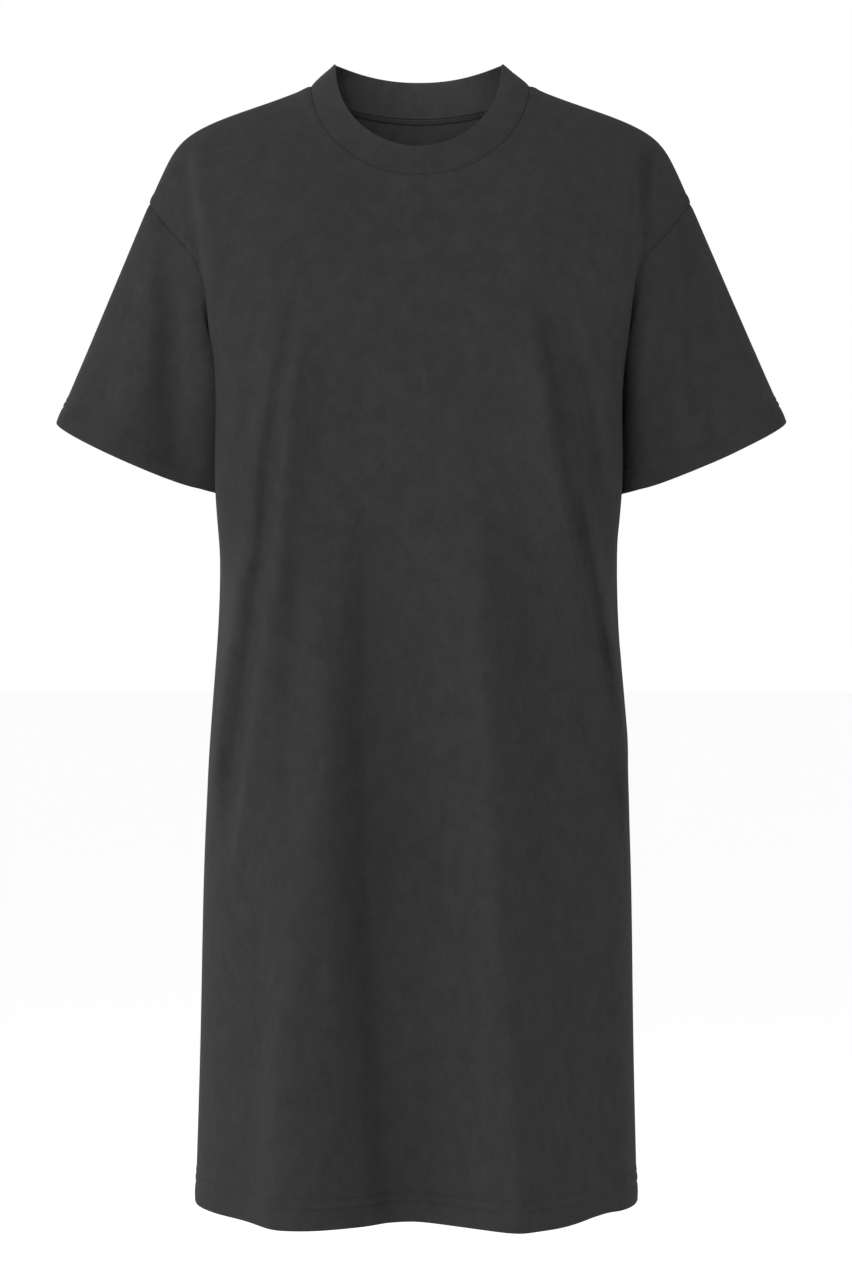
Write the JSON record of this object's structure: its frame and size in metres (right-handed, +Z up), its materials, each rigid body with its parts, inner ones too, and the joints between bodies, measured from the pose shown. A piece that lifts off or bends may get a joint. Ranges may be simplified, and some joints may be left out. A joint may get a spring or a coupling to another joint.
{
  "type": "t-shirt dress",
  "caption": "Short-sleeved T-shirt dress in charcoal jersey, filled out as if worn and hollow, with dropped shoulders, a deep round neckband and open cuffs and hem.",
  "frame": {"origin": "middle of the shoulder line, level with the neck points, where the wearer's shoulders hold the dress", "axes": "+Z up along the dress from hem to neck, +Y towards its back, +X towards the wearer's left"},
  "size_m": [0.6205, 0.2913, 0.9673],
  "materials": {
    "jersey": "matt brushed cotton jersey",
    "rib": "matt cotton rib, folded double",
    "tape": "matt narrow jersey tape"
  },
  "bodies": {
    "root": {"front_panel": "jersey", "back_panel": "jersey", "left_sleeve": "jersey", "right_sleeve": "jersey", "neckband": "rib", "neck_tape": "tape"}
  },
  "joints": []
}
